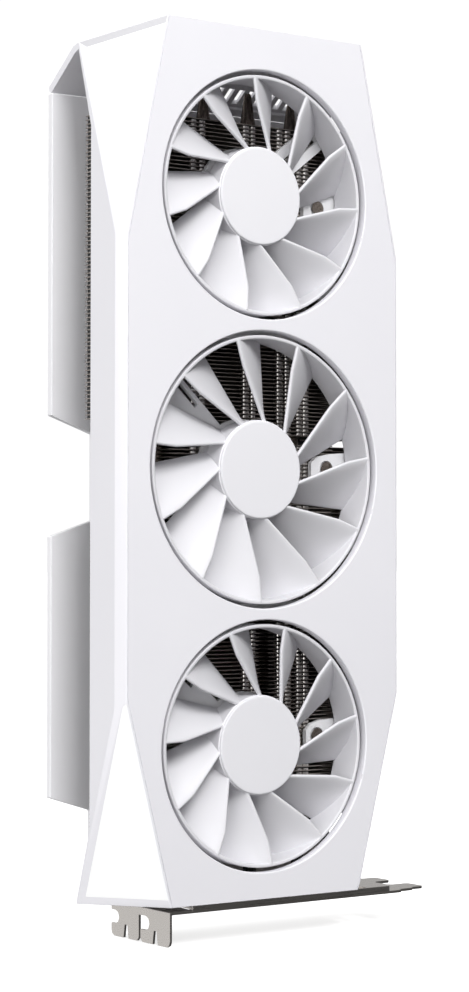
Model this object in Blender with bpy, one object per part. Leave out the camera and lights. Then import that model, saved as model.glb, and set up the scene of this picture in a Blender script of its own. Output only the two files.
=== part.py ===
# Triple-fan dual-slot graphics card, upright, connector bracket at the low end.
# Lengths below are millimetres in the card frame: X across the card (slot
# connector towards +X), Y in depth from the flat fan face, Z along the card
# from the bracket end of the shroud. The meshes are shifted so that the origin
# lies on the outer face of the connector bracket, half-way across its width.
import bpy
import bmesh
import math
import numpy as np
from mathutils import Vector

for ob in list(bpy.data.objects):
    bpy.data.objects.remove(ob, do_unlink=True)

# ---- driving dimensions (mm) ------------------------------------------------
Y_ORIGIN, Z_ORIGIN = 27.37, -3.9
GAP = 0.3
LEN = 315.6            # shroud length
HALF_W = 62.5          # shroud half width at the side walls
FACE_HALF = 60.3       # fan face half width
TOP_HALF, LOW_HALF = 43.3, 41.5
TAPER_LO, TAPER_HI = 74.0, 234.3
STRIP_Y = 4.5
WALL = 2.4
SIDE_Y = 20.7          # rear edge of the side walls
CORNER_Y = 29.3
END_DROP = 0.2476      # slope of the far end wall, mm per mm of depth
CAP_Y, CAP_Z = 33.2, 307.4
TIP_Y, TIP_Z = 50.4, 294.9
FANS = {               # name: (axis z, hole radius, blade phase in degrees, arm angle)
    "low": (55.0, 45.7, 12.2, 140.0),
    "mid": (155.0, 50.7, 6.0, 136.0),
    "top": (255.1, 45.7, -2.5, 38.0),
}
BLADES = 11
HUB_R, HUB_FRONT, HUB_BACK = 17.8, 3.6, 13.4
RING_CLEAR, RING_T = 1.3, 1.35
RING_FRONT, RING_BACK = 1.4, 15.0
FRAME_Y0, FRAME_Y1 = 16.0, 18.0
FIN_Y0, FIN_WEB, FIN_Y1 = 18.4, 29.2, 39.4
FIN_PITCH, FIN_T = 3.75, 0.8
SIDE_FIN_X, SIDE_FIN_Y = 59.4, 26.6
PIPE_X = (-26.0, -5.5, 15.0, 35.0)
PIPE_R, PIPE_Y = 3.0, 33.3
PCB_Y0, PCB_T = 42.27, 1.57
BACK_Y0, BACK_Y1 = 47.4, 50.3
BRK_X0, BRK_LEN, BRK_Y0, BRK_W, BRK_T = -36.8, 120.02, 8.0, 38.74, 1.0
TAB_H = 11.43
GPU_X, GPU_Z = 4.0, 102.0
WELD = 0.0005
SLOT_PITCH = 4.82
SOCK_X = -46.4

# ---- helpers ----------------------------------------------------------------


def material(name, rgb, metallic, rough):
    m = bpy.data.materials.new(name)
    m.use_nodes = True
    b = m.node_tree.nodes["Principled BSDF"]
    b.inputs["Base Color"].default_value = (rgb[0], rgb[1], rgb[2], 1.0)
    b.inputs["Metallic"].default_value = metallic
    b.inputs["Roughness"].default_value = rough
    m.diffuse_color = (rgb[0], rgb[1], rgb[2], 1.0)
    return m


LOOK = {
    "white": ((0.86, 0.86, 0.88), 0.0, 0.42),
    "paint": ((0.84, 0.84, 0.86), 0.0, 0.38),
    "steel": ((0.62, 0.60, 0.58), 1.0, 0.28),
    "nickel": ((0.42, 0.39, 0.35), 1.0, 0.33),
    "copper": ((0.55, 0.42, 0.33), 1.0, 0.35),
    "board": ((0.03, 0.035, 0.04), 0.0, 0.5),
    "chip": ((0.02, 0.02, 0.022), 0.0, 0.45),
    "die": ((0.30, 0.31, 0.34), 0.6, 0.15),
    "black": ((0.015, 0.015, 0.016), 0.0, 0.5),
    "ferrite": ((0.12, 0.12, 0.125), 0.0, 0.6),
}


def shift(bm):
    for v in bm.verts:
        v.co = Vector((v.co.x * 0.001, (v.co.y - Y_ORIGIN) * 0.001, (v.co.z - Z_ORIGIN) * 0.001))


def temp(bm):
    bmesh.ops.recalc_face_normals(bm, faces=bm.faces)
    me = bpy.data.meshes.new("tmp")
    bm.to_mesh(me)
    bm.free()
    ob = bpy.data.objects.new("tmp", me)
    bpy.context.scene.collection.objects.link(ob)
    return ob


def boolean(a, b, op):
    md = a.modifiers.new("b", "BOOLEAN")
    md.operation = op
    md.object = b
    md.solver = "EXACT"
    dg = bpy.context.evaluated_depsgraph_get()
    dg.update()
    me = bpy.data.meshes.new_from_object(a.evaluated_get(dg))
    a.modifiers.clear()
    bm = bmesh.new()
    bm.from_mesh(me)
    bmesh.ops.remove_doubles(bm, verts=bm.verts, dist=WELD)
    bm.to_mesh(me)
    bm.free()
    old = a.data
    a.data = me
    bpy.data.meshes.remove(old)
    bpy.data.objects.remove(b, do_unlink=True)
    return a


def union(a, *bs):
    for b in bs:
        boolean(a, b, "UNION")
    return a


def cut(a, *bs):
    for b in bs:
        boolean(a, b, "DIFFERENCE")
    return a


def joined(obs):
    bm = bmesh.new()
    for o in obs:
        bm.from_mesh(o.data)
        bpy.data.objects.remove(o, do_unlink=True)
    return temp(bm)


def finish(name, ob, look, tidy=True):
    bm = bmesh.new()
    bm.from_mesh(ob.data)
    bmesh.ops.remove_doubles(bm, verts=bm.verts, dist=WELD)
    if tidy:
        bmesh.ops.dissolve_limit(bm, angle_limit=0.0005, verts=bm.verts, edges=bm.edges)
    bmesh.ops.triangulate(bm, faces=bm.faces)
    bmesh.ops.recalc_face_normals(bm, faces=bm.faces)
    shift(bm)
    old = ob.data
    me = bpy.data.meshes.new(name)
    bm.to_mesh(me)
    bm.free()
    ob.data = me
    bpy.data.meshes.remove(old)
    ob.name = name
    me.materials.append(material("mat_" + name, *LOOK[look]))
    return ob


def prism(axis, pts, a, b):
    bm = bmesh.new()
    lo, hi = [], []
    for u, v in pts:
        if axis == "X":
            lo.append(bm.verts.new((a, u, v)))
            hi.append(bm.verts.new((b, u, v)))
        elif axis == "Y":
            lo.append(bm.verts.new((u, a, v)))
            hi.append(bm.verts.new((u, b, v)))
        else:
            lo.append(bm.verts.new((u, v, a)))
            hi.append(bm.verts.new((u, v, b)))
    n = len(pts)
    bm.faces.new(lo)
    bm.faces.new(hi[::-1])
    for i in range(n):
        j = (i + 1) % n
        bm.faces.new((lo[i], hi[i], hi[j], lo[j]))
    return temp(bm)


def box(x0, x1, y0, y1, z0, z1):
    return prism("Z", [(x0, y0), (x1, y0), (x1, y1), (x0, y1)], z0, z1)


def ngon(cu, cv, r, n, start=0.0):
    return [(cu + r * math.cos(start + 2 * math.pi * i / n), cv + r * math.sin(start + 2 * math.pi * i / n)) for i in range(n)]


def disc(x, z, r, y0, y1, n=24):
    return prism("Y", ngon(x, z, r, n), y0, y1)


def revolve(profile, x, z, n, closed_axis=False):
    """Profile of (radius, y) turned about the line through (x, z) along Y."""
    bm = bmesh.new()
    rings = []
    for r, y in profile:
        if r < 1e-6:
            rings.append([bm.verts.new((x, y, z))])
        else:
            rings.append([bm.verts.new((x + r * math.cos(2 * math.pi * i / n), y, z + r * math.sin(2 * math.pi * i / n))) for i in range(n)])
    m = len(rings)
    last = m - 1 if closed_axis else m
    for k in range(last):
        p, q = rings[k], rings[(k + 1) % m]
        for i in range(n):
            j = (i + 1) % n
            if len(p) == 1 and len(q) == 1:
                continue
            if len(p) == 1:
                bm.faces.new((p[0], q[i], q[j]))
            elif len(q) == 1:
                bm.faces.new((p[i], q[0], p[j]))
            else:
                bm.faces.new((p[i], q[i], q[j], p[j]))
    return temp(bm)


def solid_from_planes(planes):
    """Convex body: every plane is (normal, d) and keeps n.p <= d."""
    pts = []
    for i in range(len(planes)):
        for j in range(i + 1, len(planes)):
            for k in range(j + 1, len(planes)):
                m = np.array([planes[i][0], planes[j][0], planes[k][0]], float)
                if abs(np.linalg.det(m)) < 1e-6:
                    continue
                p = np.linalg.solve(m, np.array([planes[i][1], planes[j][1], planes[k][1]], float))
                if all(np.dot(n, p) <= d + 1e-5 for n, d in planes) and not any(np.linalg.norm(p - q) < 1e-4 for q in pts):
                    pts.append(p)
    bm = bmesh.new()
    for p in pts:
        bm.verts.new(tuple(p))
    bmesh.ops.convex_hull(bm, input=bm.verts)
    return temp(bm)


def plane3(a, b, c, inside, t=0.0):
    a, b, c = (np.array(v, float) for v in (a, b, c))
    n = np.cross(b - a, c - a)
    n = n / np.linalg.norm(n)
    if np.dot(n, np.array(inside, float) - a) > 0:
        n = -n
    return (n, float(np.dot(n, a)) - t)


# ---- shroud -----------------------------------------------------------------
MID = (0.0, 10.0, 150.0)
TOP_CORNER_Z = LEN - END_DROP * CORNER_Y


def shroud_planes(t, back):
    pl = [(np.array((0, -1, 0.0)), -t)]
    for s in (-1, 1):
        pl.append((np.array((s, 0, 0.0)), HALF_W - t))
        pl.append(plane3((s * FACE_HALF, 0, 0), (s * FACE_HALF, 0, 100), (s * HALF_W, STRIP_Y, 50), MID, t))
        pl.append(plane3((s * LOW_HALF, 0, 0), (s * FACE_HALF, 0, TAPER_LO), (s * HALF_W, CORNER_Y, 0), MID, t))
        pl.append(plane3((s * TOP_HALF, 0, LEN), (s * FACE_HALF, 0, TAPER_HI), (s * HALF_W, CORNER_Y, TOP_CORNER_Z), MID, t))
    pl.append((np.array((0, 0, -1.0)), -t))
    n = np.array((0, END_DROP, 1.0))
    n = n / np.linalg.norm(n)
    pl.append((n, float(np.dot(n, (0, 0, LEN))) - t))
    pl.append((np.array((0, 1.0, 0)), back))
    return pl


shroud = solid_from_planes(shroud_planes(0.0, CORNER_Y))
cut(shroud, solid_from_planes(shroud_planes(WALL, 60.0)))
# side walls stop short of the corners
side = [(SIDE_Y, 27.0), (SIDE_Y, 277.0), (CORNER_Y + 0.02, TOP_CORNER_Z - 2.6), (60.0, TOP_CORNER_Z - 2.6), (60.0, -5.0), (CORNER_Y + 0.02, -5.0), (CORNER_Y + 0.02, 1.2)]
for s in (-1, 1):
    cut(shroud, prism("X", side, s * 52.0, s * 70.0))
# end wall carries on as a sloping cap down to the backplate
ux, uz = TIP_Y - CAP_Y, TIP_Z - CAP_Z
ul = math.hypot(ux, uz)
nx, nz = uz / ul * 2.8, -ux / ul * 2.8
y_a = CORNER_Y - 0.1
cap = [(y_a, LEN - END_DROP * y_a), (CAP_Y, CAP_Z), (TIP_Y - 0.6 * ux / ul, TIP_Z - 0.6 * uz / ul), (TIP_Y + 0.2 * nx, TIP_Z + 0.2 * nz),
       (TIP_Y + 0.7 * nx, TIP_Z + 0.7 * nz), (TIP_Y + nx - 0.8 * ux / ul, TIP_Z + nz - 0.8 * uz / ul), (CAP_Y + nx + 0.4, CAP_Z + nz - 0.3),
       (y_a, LEN - END_DROP * y_a - WALL * 1.03)]
capo = prism("X", cap, -HALF_W, HALF_W)
union(shroud, capo)
# thinned band under the slots, then the slots
dy = ux / ul
k0, k1 = (37.2 - CAP_Y) / dy, (46.8 - CAP_Y) / dy
uy_, uz_ = ux / ul, uz / ul
pocket = [(CAP_Y + uy_ * k + nx * f, CAP_Z + uz_ * k + nz * f) for k, f in ((k0, 0.6), (k1, 0.6), (k1, 1.6), (k0, 1.6))]
cut(shroud, prism("X", pocket, -47.0, 47.0))
slots = []
for i in range(-9, 9):
    x = SLOT_PITCH * (i + 0.5)
    slots.append(prism("Y", [(x - 1.25, 285.0), (x + 1.25, 285.0), (x + 1.25, 310.0), (x - 1.25, 310.0)], 39.1, 44.9))
cut(shroud, joined(slots))
# duct collars behind the fan holes, then the holes with a chamfered mouth
for key, (fz, fr, ph, arm) in FANS.items():
    union(shroud, disc(0.0, fz, fr + 1.5, WALL - 0.4, 3.2, 64))
for key, (fz, fr, ph, arm) in FANS.items():
    cut(shroud, revolve([(0, -2.0), (fr + 2.9, -2.0), (fr, 0.9), (fr, 8.0), (0, 8.0)], 0.0, fz, 64, True))
# bosses for the inner fan frame
BOSS = [(s * 54.0, z) for s in (-1, 1) for z in (104.5, 205.5)] + [(s * 44.0, z) for s in (-1, 1) for z in (29.8, 282.0)]
for bx, bz in BOSS:
    union(shroud, disc(bx, bz, 2.6, WALL - 0.4, FRAME_Y0 - GAP, 16))
finish("shroud", shroud, "white", False)

# ---- inner frame holding the three fan motors ---------------------------------


def rail(s):
    return prism("Y", [(s * 50.9, 27.0), (s * 55.2, 27.0), (s * 57.0, 40.0), (s * 57.0, 272.0), (s * 55.0, 285.0), (s * 50.9, 285.0)], FRAME_Y0, FRAME_Y1)


def strut(x0, z0, ang, r0, r1, w):
    c, s_ = math.cos(math.radians(ang)), math.sin(math.radians(ang))
    p = [(r0, -w / 2), (r1, -w / 2), (r1, w / 2), (r0, w / 2)]
    return prism("Y", [(x0 + a * c - b * s_, z0 + a * s_ + b * c) for a, b in p], FRAME_Y0, FRAME_Y1)


SPOKES = {"low": ((140.0, 67.3), (-90.0, 26.0)), "mid": ((136.0, 71.7), (-136.0, 71.7)), "top": ((38.0, 45.0), (-38.0, 65.4))}
frame = rail(-1)
cross = [box(-51.5, 51.5, FRAME_Y0, FRAME_Y1, z - 2.6, z + 2.6) for z in (29.8, 104.5, 205.5)]
union(frame, *cross)
union(frame, rail(1))
union(frame, *[box(min(s * 40.9, s * 51.5), max(s * 40.9, s * 51.5), FRAME_Y0, FRAME_Y1, 279.4, 284.6) for s in (-1, 1)])
for key, (fz, fr, ph, arm) in FANS.items():
    lug0 = {"low": 29.5, "mid": 32.0, "top": 28.5}[key]
    scr = {"low": 34.6, "mid": 39.2, "top": 35.0}[key]
    lug = prism("Y", [(51.5, fz - 7.0), (51.5, fz + 8.0), (scr + 2.0, fz + 7.2), (lug0 + 2.5, fz + 6.0), (lug0, fz + 3.5), (lug0, fz - 3.5), (lug0 + 2.5, fz - 6.0), (scr + 2.0, fz - 6.6)], FRAME_Y0, FRAME_Y1)
    union(frame, lug)
    union(frame, disc(0, fz, 19.0, FRAME_Y0, FRAME_Y1, 40))
    for ang, reach in SPOKES[key]:
        union(frame, strut(0, fz, ang, 10.0, reach, 10.4))
    cut(frame, revolve([(0, 10.0), (3.1, 10.0), (3.1, 17.2), (1.7, 17.2), (1.7, 24.0), (0, 24.0)], scr, fz + (1.5 if key != "top" else -0.3), 16, True))
    c, s_ = math.cos(math.radians(arm)), math.sin(math.radians(arm))
    sl = [(30.5, 1.6), (41.0, 1.6), (41.0, 3.6), (30.5, 3.6)] if arm > 90 else [(24.0, -1.6), (43.0, -1.6), (43.0, 1.6), (24.0, 1.6)]
    sg = -1 if arm > 90 else 1
    cut(frame, prism("Y", [(a * c - sg * b * s_, fz + a * s_ + sg * b * c) for a, b in sl], 10, 24))
    cut(frame, disc(0, fz, 6.0, 10, 24, 24))
finish("fan_frame", frame, "white")

# ---- fans --------------------------------------------------------------------


def line_polar(p, q, t):
    x0, z0 = p[0] * math.cos(math.radians(p[1])), p[0] * math.sin(math.radians(p[1]))
    x1, z1 = q[0] * math.cos(math.radians(q[1])), q[0] * math.sin(math.radians(q[1]))
    return x0 + (x1 - x0) * t, z0 + (z1 - z0) * t


def blade(fz, r_tip, phase, nr=6, nc=4):
    r_in, r_out = HUB_R - 0.7, r_tip + 0.7
    kink = 0.82 * r_tip
    bm = bmesh.new()
    front, back = [], []
    stations = [0.0, 0.22, 0.45, 0.68, 0.82, 1.0]
    for t in stations:
        if t <= 0.82:
            lx, lz = line_polar((r_in, -22.6), (kink, -1.2), t / 0.82)
        else:
            lx, lz = line_polar((kink, -1.2), (r_out, 0.1), (t - 0.82) / 0.18)
        tx, tz = line_polar((r_in, -43.5), (r_out, -22.3), t)
        r = math.hypot(lx, lz)
        a0, a1 = math.atan2(lz, lx), math.atan2(tz, tx)
        r1 = math.hypot(tx, tz)
        y0 = 4.6 - 3.3 * t
        y1 = 13.4 + 0.5 * t
        rowf, rowb = [], []
        for k in range(nc + 1):
            s = k / nc
            a = math.radians(phase) + a0 + (a1 - a0) * s
            rr = r + (r1 - r) * s
            y = y0 + (y1 - y0) * (s ** 1.25)
            rowf.append(bm.verts.new((rr * math.cos(a), y, fz + rr * math.sin(a))))
            rowb.append(bm.verts.new((rr * math.cos(a) * 1.0, y + 1.35, fz + rr * math.sin(a))))
        front.append(rowf)
        back.append(rowb)
    m, n = len(stations), nc + 1
    for i in range(m - 1):
        for k in range(n - 1):
            bm.faces.new((front[i][k], front[i + 1][k], front[i + 1][k + 1], front[i][k + 1]))
            bm.faces.new((back[i][k], back[i][k + 1], back[i + 1][k + 1], back[i + 1][k]))
        bm.faces.new((front[i][0], back[i][0], back[i + 1][0], front[i + 1][0]))
        bm.faces.new((front[i][n - 1], front[i + 1][n - 1], back[i + 1][n - 1], back[i][n - 1]))
    for k in range(n - 1):
        bm.faces.new((front[0][k], front[0][k + 1], back[0][k + 1], back[0][k]))
        bm.faces.new((front[m - 1][k], back[m - 1][k], back[m - 1][k + 1], front[m - 1][k + 1]))
    return temp(bm)


for key, (fz, fr, ph, arm) in FANS.items():
    ro = fr - RING_CLEAR
    ri = ro - RING_T
    hub = revolve([(0, HUB_FRONT), (HUB_R - 0.9, HUB_FRONT), (HUB_R, HUB_FRONT + 0.9), (HUB_R, HUB_BACK), (HUB_R - 1.5, HUB_BACK), (HUB_R - 1.5, HUB_FRONT + 1.6), (0, HUB_FRONT + 1.6)], 0, fz, 40, True)
    ring = revolve([(ri + 0.3, RING_FRONT), (ro - 0.3, RING_FRONT), (ro, RING_FRONT + 0.4), (ro, RING_BACK), (ri, RING_BACK), (ri, RING_FRONT + 0.4)], 0, fz, 72)
    bl = joined([blade(fz, ri, ph + 360.0 / BLADES * i) for i in range(BLADES)])
    union(hub, bl)
    union(hub, ring)
    finish("impeller_" + key, hub, "white")
    finish("rotor_magnet_" + key, revolve([(14.7, 7.2), (16.0, 7.2), (16.0, 13.0), (14.7, 13.0)], 0, fz, 32), "ferrite")
    finish("shaft_" + key, disc(0, fz, 1.0, 6.0, 15.2, 12), "steel")
    finish("stator_" + key, revolve([(4.6, 7.6), (13.6, 7.6), (13.6, 12.8), (4.6, 12.8)], 0, fz, 24), "copper")
    base = revolve([(1.08, 6.6), (4.2, 6.6), (4.2, 13.8), (14.6, 13.8), (14.6, FRAME_Y0 - GAP), (1.08, FRAME_Y0 - GAP)], 0, fz, 24)
    finish("motor_base_" + key, base, "white")
    scr = {"low": 34.6, "mid": 39.2, "top": 35.0}[key]
    sz = fz + (1.5 if key != "top" else -0.3)
    finish("fan_screw_" + key, revolve([(0, 16.2), (0.9, 16.5), (1.9, 15.8), (2.5, 16.0), (2.7, 17.2 - GAP), (1.3, 17.2 - GAP), (1.3, 18.1), (0, 18.1)], scr, sz, 16, True), "steel")

# ---- heatsink ------------------------------------------------------------------


def comb(x0, x1, z0, z1, tip, root0, root1):
    """Row of fin plates across X, joined by a thin web between root0 and root1."""
    n = int((z1 - z0) // FIN_PITCH)
    pitch = (z1 - z0 - FIN_T) / n
    pts = [(root1, z0), (root1, z1)]
    for i in range(n, -1, -1):
        a = z0 + i * pitch
        pts.append((tip, a + FIN_T))
        pts.append((tip, a))
        if i:
            pts.append((root0, a))
            pts.append((root0, a - pitch + FIN_T))
    return prism("X", pts, x0, x1)


def fins(x0, x1, deep_to, z0, z1):
    body = comb(x0, x1, z0, z1, FIN_Y0, FIN_WEB, FIN_WEB + 0.8)
    if deep_to is not None:
        union(body, comb(x0, deep_to, z0, z1, FIN_Y1, FIN_WEB + 0.6, FIN_WEB + 0.1))
    union(body, comb(x1 - 0.4, SIDE_FIN_X, z0, z1, SIDE_FIN_Y, FIN_Y1 - 0.8, FIN_Y1))
    return body


finish("fins_low", fins(-50.2, 44.0, -30.5, 25.0, 132.6), "nickel")
finish("fins_mid", fins(-33.0, 44.0, None, 135.4, 165.6), "nickel")
finish("fins_top", cut(fins(-51.7, 44.0, -30.5, 168.2, 284.6), box(-60.0, -32.9, FIN_WEB - 0.1, 45.0, 160.0, 172.2)), "nickel")
for i, x in enumerate(PIPE_X):
    pr = [(0, 299.0 - 2 * (i % 2)), (1.0, 298.4 - 2 * (i % 2)), (PIPE_R, 288.0), (PIPE_R, 34.0), (1.2, 30.5), (0, 30.0)]
    bm = bmesh.new()
    rings = []
    for r, z in pr:
        rings.append([bm.verts.new((x, PIPE_Y, z))] if r < 1e-6 else [bm.verts.new((x + r * math.cos(2 * math.pi * j / 12), PIPE_Y + r * math.sin(2 * math.pi * j / 12), z)) for j in range(12)])
    for k in range(len(rings) - 1):
        p, q = rings[k], rings[k + 1]
        for j in range(12):
            jj = (j + 1) % 12
            if len(p) == 1:
                bm.faces.new((p[0], q[j], q[jj]))
            elif len(q) == 1:
                bm.faces.new((p[j], q[0], p[jj]))
            else:
                bm.faces.new((p[j], q[j], q[jj], p[jj]))
    finish("heat_pipe_%d" % (i + 1), temp(bm), "nickel")
finish("cold_plate", box(GPU_X - 34, GPU_X + 34, 36.6, 39.3, GPU_Z - 34, GPU_Z + 34), "nickel")

# ---- circuit board -------------------------------------------------------------
SLOT_Z0 = 40.5
board = prism("Y", [(-44.0, -2.4), (60.5, -2.4), (60.5, SLOT_Z0 - 6.0), (63.0, SLOT_Z0 - 4.0), (63.0, SLOT_Z0), (70.6, SLOT_Z0), (71.4, SLOT_Z0 + 0.8),
                    (71.4, SLOT_Z0 + 10.9), (70.6, SLOT_Z0 + 11.65), (63.9, SLOT_Z0 + 11.65), (63.9, SLOT_Z0 + 13.55), (70.6, SLOT_Z0 + 13.55),
                    (71.4, SLOT_Z0 + 14.3), (71.4, SLOT_Z0 + 84.4), (70.6, SLOT_Z0 + 85.2), (63.0, SLOT_Z0 + 85.2), (63.0, SLOT_Z0 + 87.6),
                    (68.4, SLOT_Z0 + 88.6), (68.4, SLOT_Z0 + 94.0), (60.5, SLOT_Z0 + 95.5), (60.5, 215.0), (-48.0, 215.0), (-48.0, 40.0), (-44.0, 36.0)], PCB_Y0, PCB_Y0 + PCB_T)
STAND = [(-38.0, 48.0), (52.0, 20.0), (-38.0, 200.0), (52.0, 200.0)]
SPRING = [(GPU_X + a, GPU_Z + b) for a in (-30, 30) for b in (-30, 30)]
cut(board, joined([disc(x, z, 1.7, 40, 48, 12) for x, z in STAND + SPRING]))
finish("circuit_board", board, "board")
y = PCB_Y0 - 0.27
finish("gpu_package", box(GPU_X - 20, GPU_X + 20, y - 1.2, y, GPU_Z - 20, GPU_Z + 20), "board")
finish("gpu_die", box(GPU_X - 9.5, GPU_X + 9.5, 39.6, y - 1.5, GPU_Z - 9.5, GPU_Z + 9.5), "die")
MEM = [(GPU_X - 13.5 + 27 * i, GPU_Z + s * 28.5) for i in (0, 1) for s in (-1, 1)] + [(GPU_X + 30.5, GPU_Z - 10.5), (GPU_X + 30.5, GPU_Z + 10.5)]
for i, (mx, mz) in enumerate(MEM):
    w, h = (6.0, 7.0) if i < 4 else (7.0, 6.0)
    finish("memory_%d" % (i + 1), box(mx - w, mx + w, y - 1.1, y, mz - h, mz + h), "chip")
for i in range(5):
    finish("choke_%d" % (i + 1), box(-29.0, -22.0, y - 4.2, y, 142.0 + 11.5 * i, 149.0 + 11.5 * i), "ferrite")
for i in range(2):
    z0 = 134.0 + 19.2 * i
    sock = box(SOCK_X, SOCK_X + 13.0, y - 12.4, y, z0, z0 + 18.6)
    pins = []
    for a in range(4):
        for b in range(2):
            pins.append(box(SOCK_X - 1.6, SOCK_X + 9.4, y - 10.7 + 5.0 * b, y - 6.9 + 5.0 * b, z0 + 1.2 + 4.2 * a, z0 + 4.8 + 4.2 * a))
    cut(sock, joined(pins))
    finish("power_socket_%d" % (i + 1), sock, "black")

# ---- connector bracket -----------------------------------------------------------
bx1 = BRK_X0 + BRK_LEN
yb0, yb1 = BRK_Y0, BRK_Y0 + BRK_W
slot_w = 18.42
zb = Z_ORIGIN
face = prism("Z", [(BRK_X0, yb0), (BRK_X0 + 105.5, yb0), (BRK_X0 + 106.5, yb0 + 2.2), (BRK_X0 + 112.6, yb0 + 2.2), (BRK_X0 + 114.3, yb0 + 4.11),
                   (bx1 - 1.2, yb0 + 4.11), (bx1, yb0 + 5.3), (bx1, yb0 + 13.1), (bx1 - 1.2, yb0 + 14.31), (BRK_X0 + 112.6, yb0 + 14.31),
                   (BRK_X0 + 111.0, yb0 + 16.0), (BRK_X0 + 111.0, yb1 - 16.0), (BRK_X0 + 112.6, yb1 - 14.31), (bx1 - 1.2, yb1 - 14.31),
                   (bx1, yb1 - 13.1), (bx1, yb1 - 5.3), (bx1 - 1.2, yb1 - 4.11), (BRK_X0 + 114.3, yb1 - 4.11), (BRK_X0 + 112.6, yb1 - 2.2),
                   (BRK_X0 + 106.5, yb1 - 2.2), (BRK_X0 + 105.5, yb1), (BRK_X0, yb1)], zb, zb + BRK_T)
# two tongues side by side, each with a screw notch in its rear edge and a slot from below
tab_pts = [(0.0, 0.5), (0.0, -9.4), (0.6, -10.8), (2.0, -11.43), (7.9, -11.43), (8.7, -6.6), (10.4, -6.6), (11.2, -11.43), (18.0, -11.43), (19.2, -10.2),
           (19.2, -6.9), (15.8, -6.9), (14.1, -6.2), (13.4, -4.4), (14.1, -2.6), (15.8, -1.9), (20.3, -1.9), (20.3, -10.2), (21.5, -11.43),
           (27.2, -11.43), (28.0, -6.6), (29.7, -6.6), (30.5, -11.43), (36.8, -11.43), (38.2, -10.8), (BRK_W, -9.4), (BRK_W, -6.8),
           (36.0, -6.8), (34.3, -6.1), (33.6, -4.4), (34.3, -2.7), (36.0, -2.0), (BRK_W, -2.0), (BRK_W, 0.5)]
tab = prism("X", [(yb0 + a, zb + b) for a, b in tab_pts], BRK_X0, BRK_X0 + BRK_T)
lip = prism("X", [(yb0, zb + 0.5), (yb0 + 0.9, zb + 0.5), (yb0 + 0.9, zb + 3.0), (yb0, zb + 3.0)], -27.0, 63.0)
union(face, tab, lip)
ports = [(-15.5, 15.2, 5.4), (7.0, 16.6, 5.4), (29.5, 16.6, 5.4), (52.0, 16.6, 5.4)]
holes = []
py1 = PCB_Y0 - 0.27
for px, pw, ph_ in ports:
    holes.append(box(px - pw / 2 - GAP, px + pw / 2 + GAP, py1 - ph_ - GAP, py1 + GAP, zb - 2, zb + 2))
for i in range(13):
    vx = -24.0 + 7.0 * i
    holes.append(prism("Z", [(vx - 2.4, yb0 + 3.4), (vx + 1.2, yb0 + 3.4), (vx + 2.4, yb0 + 15.4), (vx - 1.2, yb0 + 15.4)], zb - 2, zb + 2))
cut(face, joined(holes))
finish("io_bracket", face, "steel")
for i, (px, pw, ph_) in enumerate(ports):
    s = box(px - pw / 2, px + pw / 2, py1 - ph_, py1, zb + 0.05, zb + 17.0)
    cut(s, box(px - pw / 2 + 0.5, px + pw / 2 - 0.5, py1 - ph_ + 0.5, py1 - 0.5, zb - 2, zb + 11.0))
    finish("video_socket_%d" % (i + 1), s, "steel")

# ---- backplate, spring plate and screws -------------------------------------------
plate = prism("Y", [(-45.0, 2.0), (61.0, 2.0), (62.3, 6.0), (62.3, 292.8), (-62.6, 292.8), (-62.6, 174.8), (-44.7, 168.5), (-44.7, 136.6), (-62.6, 130.7), (-62.6, 36.0), (-45.0, 30.5)], BACK_Y0, BACK_Y1)
for x, z in STAND:
    union(plate, disc(x, z, 3.2, PCB_Y0 + PCB_T + GAP, BACK_Y0 + 0.4, 16))
cut(plate, joined([revolve([(0, 40), (1.7, 40), (1.7, 48.9), (3.1, 48.9), (3.1, 60), (0, 60)], x, z, 16, True) for x, z in STAND]))
finish("backplate", plate, "paint")
for i, (x, z) in enumerate(STAND):
    finish("plate_screw_%d" % (i + 1), revolve([(0, 40.4), (1.3, 40.4), (1.3, 49.0), (2.7, 49.0), (2.7, 49.9), (2.2, 50.2), (0, 50.2)], x, z, 12, True), "steel")
cross = prism("Y", [(GPU_X + a, GPU_Z + b) for a, b in ((-34, -28), (-28, -34), (0, -9), (28, -34), (34, -28), (9, 0), (34, 28), (28, 34), (0, 9), (-28, 34), (-34, 28), (-9, 0))], 44.2, 45.2)
cut(cross, joined([disc(x, z, 1.7, 40, 48, 12) for x, z in SPRING]))
finish("spring_plate", cross, "steel")
for i, (x, z) in enumerate(SPRING):
    finish("spring_screw_%d" % (i + 1), revolve([(0, 39.6), (1.3, 39.6), (1.3, 45.5), (2.6, 45.5), (2.6, 46.8), (0, 46.8)], x, z, 12, True), "steel")

tri = sum(len(o.data.polygons) for o in bpy.data.objects if o.type == "MESH")
print("objects", len(bpy.data.objects), "triangles", tri)
for o in sorted(bpy.data.objects, key=lambda q: -len(q.data.polygons))[:12]:
    print("  ", o.name, len(o.data.polygons))
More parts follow.
